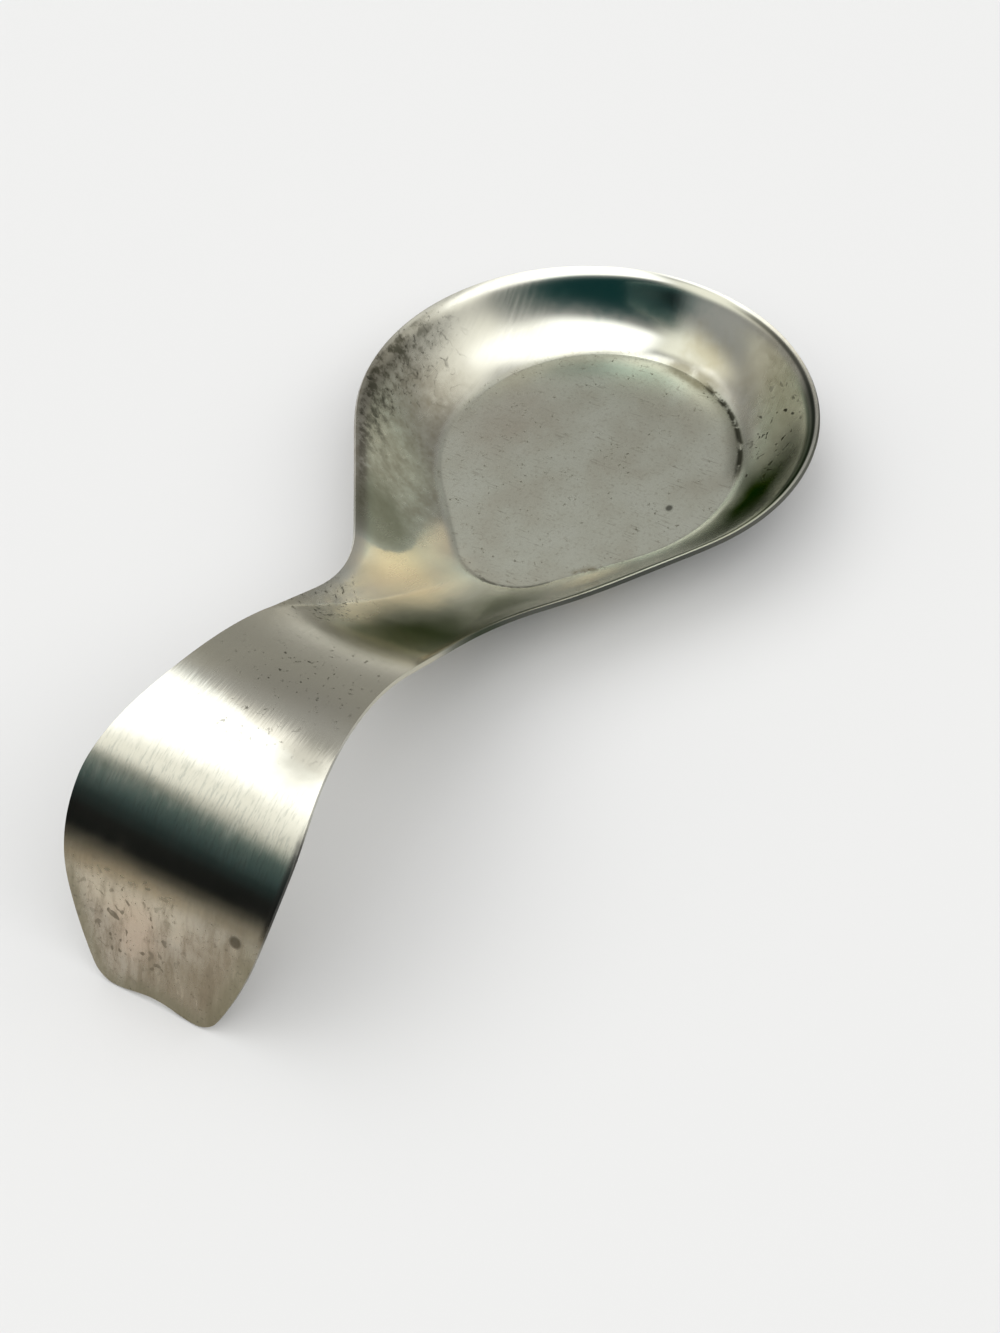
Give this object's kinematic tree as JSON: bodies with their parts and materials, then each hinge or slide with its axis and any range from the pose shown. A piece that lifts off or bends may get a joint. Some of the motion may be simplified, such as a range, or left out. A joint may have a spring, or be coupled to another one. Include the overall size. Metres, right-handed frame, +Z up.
{
  "type": "spoon rest",
  "caption": "Pressed stainless steel spoon rest: an egg-shaped bowl with a flat floor and flared rim, and a wide handle that arches down to stand on the table.",
  "frame": {"origin": "on the table, in the flat underside of the bowl, below the bowl's widest line", "axes": "+X towards the far rim of the bowl, with the handle towards -X; +Y across; +Z up from the table"},
  "size_m": [0.2304, 0.1076, 0.0436],
  "materials": {
    "stainless_steel": "satin stainless, worn and a little tarnished"
  },
  "bodies": {
    "root": {"spoon_rest": "stainless_steel"}
  },
  "joints": []
}
